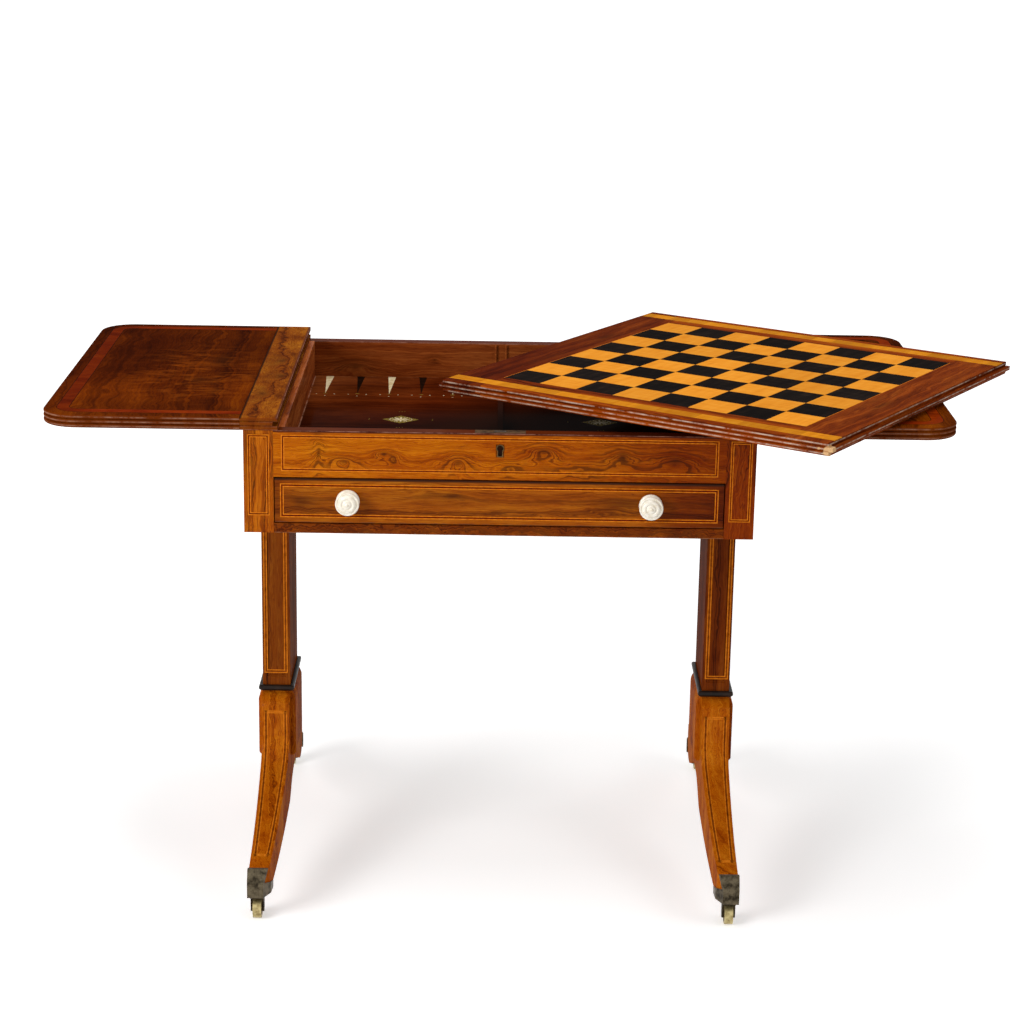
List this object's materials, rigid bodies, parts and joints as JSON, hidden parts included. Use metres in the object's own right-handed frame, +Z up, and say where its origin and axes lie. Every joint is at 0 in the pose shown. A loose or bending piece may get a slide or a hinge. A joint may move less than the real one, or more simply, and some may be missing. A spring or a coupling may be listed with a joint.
{
  "type": "drop-leaf games table",
  "caption": "Games table on end posts with sabre legs and castors, drop leaves on fly brackets, a backgammon well, a drawer and a lift-off chess board laid askew.",
  "frame": {"origin": "on the floor, under the middle of the whole object's bounding box with the leaves up and the board laid askew", "axes": "+X to the right along the front, -Y towards the sitter at the drawer side, +Z up"},
  "size_m": [1.357, 0.8238, 0.7482],
  "materials": {
    "case_veneer": "french-polished figured walnut veneer",
    "frieze_veneer": "french-polished figured walnut veneer",
    "drawer_veneer": "french-polished figured walnut veneer",
    "leaf_wood": "french-polished flame mahogany",
    "strip_wood": "french-polished walnut",
    "crossbanding": "polished orange-red crossbanding",
    "post_wood": "polished walnut",
    "leg_wood": "polished walnut",
    "ebonised": "ebonised and polished",
    "carcase_wood": "plain planed hardwood",
    "bracket_wood": "raw oak, unpolished",
    "well_lining": "dark red lining, satin",
    "well_bar_wood": "polished mahogany",
    "ivory_points": "bone-coloured inlay",
    "ebony_points": "ebony inlay",
    "medallion": "bone-coloured inlay",
    "stringing": "boxwood line",
    "knob": "turned bone, polished",
    "aged_brass": "aged",
    "lock_steel": "dull",
    "toe_brass": "worn, lacquered",
    "castor_fork": "dark, oiled",
    "castor_wheel": "worn bright",
    "hinge_steel": "dull",
    "board_border": "polished walnut",
    "board_clamp": "polished walnut, end grain at the sides",
    "board_band": "satinwood band",
    "light_square": "satinwood veneer",
    "dark_square": "ebony veneer"
  },
  "bodies": {
    "root": {"corner_posts": "case_veneer", "frieze_rail": "frieze_veneer", "bottom_rail": "case_veneer", "back_rail": "case_veneer", "case_stringing": "stringing", "side_panels": "well_lining", "side_packers": "carcase_wood", "fly_rails": "case_veneer", "bracket_pins": "hinge_steel", "drawer_runners": "carcase_wood", "well_floor": "well_lining", "well_points_light": "ivory_points", "well_points_dark": "ebony_points", "well_medallions": "medallion", "well_bar": "well_bar_wood", "bar_guides": "well_bar_wood", "top_strips": "strip_wood", "lock_case": "lock_steel", "lock_plate": "aged_brass", "keyhole_escutcheon": "aged_brass", "end_posts": "post_wood", "post_stringing": "stringing", "post_collars": "ebonised", "knee_blocks": "leg_wood", "knee_cheeks": "leg_wood", "sabre_legs": "leg_wood", "toe_caps": "toe_brass", "fixed_hinge_plates": "hinge_steel", "hinge_pins": "hinge_steel"},
    "lock_bolt": {"lock_bolt": "lock_steel"},
    "left_leaf": {"left_leaf": "leaf_wood", "left_leaf_banding": "crossbanding", "left_hinge_plates": "hinge_steel"},
    "right_leaf": {"right_leaf": "leaf_wood", "right_leaf_banding": "crossbanding", "right_hinge_plates": "hinge_steel"},
    "left_bracket": {"left_bracket": "bracket_wood"},
    "right_bracket": {"right_bracket": "bracket_wood"},
    "drawer": {"drawer_front": "drawer_veneer", "drawer_stringing": "stringing", "drawer_sides": "carcase_wood", "drawer_back": "carcase_wood", "drawer_bottom": "carcase_wood", "drawer_knobs": "knob"},
    "board": {"board_panel": "board_border", "board_clamps": "board_clamp", "dark_squares": "dark_square", "light_squares": "light_square", "board_bands": "board_band"},
    "front_left_fork": {"front_left_castor_fork": "castor_fork"},
    "front_left_wheel": {"front_left_castor_wheel": "castor_wheel"},
    "front_right_fork": {"front_right_castor_fork": "castor_fork"},
    "front_right_wheel": {"front_right_castor_wheel": "castor_wheel"},
    "back_left_fork": {"back_left_castor_fork": "castor_fork"},
    "back_left_wheel": {"back_left_castor_wheel": "castor_wheel"},
    "back_right_fork": {"back_right_castor_fork": "castor_fork"},
    "back_right_wheel": {"back_right_castor_wheel": "castor_wheel"}
  },
  "joints": [
    {"name": "left_leaf_hinge", "type": "hinge", "parent": "root", "child": "left_leaf", "pos_m": [-0.41067, 0.047, 0.709], "axis": [0, 1, 0], "range_deg": [-90, 0]},
    {"name": "right_leaf_hinge", "type": "hinge", "parent": "root", "child": "right_leaf", "pos_m": [0.28373, 0.047, 0.709], "axis": [0, -1, 0], "range_deg": [-90, 0]},
    {"name": "left_bracket_swing", "type": "hinge", "parent": "root", "child": "left_bracket", "pos_m": [-0.39547, -0.052, 0.675], "axis": [0, 0, 1], "range_deg": [0, 90]},
    {"name": "right_bracket_swing", "type": "hinge", "parent": "root", "child": "right_bracket", "pos_m": [0.26853, -0.052, 0.675], "axis": [0, 0, -1], "range_deg": [0, 90]},
    {"name": "drawer_slide", "type": "slide", "parent": "root", "child": "drawer", "axis": [0, -1, 0], "range_m": [0, 0.3]},
    {"name": "board_lift", "type": "slide", "parent": "root", "child": "board", "axis": [0, 0, 1], "range_m": [0, 0.25]},
    {"name": "lock_bolt_throw", "type": "slide", "parent": "root", "child": "lock_bolt", "axis": [0, 0, 1], "range_m": [0, 0.006]},
    {"name": "front_left_swivel", "type": "hinge", "parent": "root", "child": "front_left_fork", "pos_m": [-0.39597, -0.243, 0.036], "axis": [0, 0, 1], "continuous": true},
    {"name": "front_left_roll", "type": "hinge", "parent": "front_left_fork", "child": "front_left_wheel", "pos_m": [-0.39597, -0.236, 0.015], "axis": [1, 0, 0], "continuous": true},
    {"name": "front_right_swivel", "type": "hinge", "parent": "root", "child": "front_right_fork", "pos_m": [0.26903, -0.243, 0.036], "axis": [0, 0, 1], "continuous": true},
    {"name": "front_right_roll", "type": "hinge", "parent": "front_right_fork", "child": "front_right_wheel", "pos_m": [0.26903, -0.236, 0.015], "axis": [1, 0, 0], "continuous": true},
    {"name": "back_left_swivel", "type": "hinge", "parent": "root", "child": "back_left_fork", "pos_m": [-0.39597, 0.337, 0.036], "axis": [0, 0, 1], "continuous": true},
    {"name": "back_left_roll", "type": "hinge", "parent": "back_left_fork", "child": "back_left_wheel", "pos_m": [-0.39597, 0.344, 0.015], "axis": [1, 0, 0], "continuous": true},
    {"name": "back_right_swivel", "type": "hinge", "parent": "root", "child": "back_right_fork", "pos_m": [0.26903, 0.337, 0.036], "axis": [0, 0, 1], "continuous": true},
    {"name": "back_right_roll", "type": "hinge", "parent": "back_right_fork", "child": "back_right_wheel", "pos_m": [0.26903, 0.344, 0.015], "axis": [1, 0, 0], "continuous": true}
  ]
}
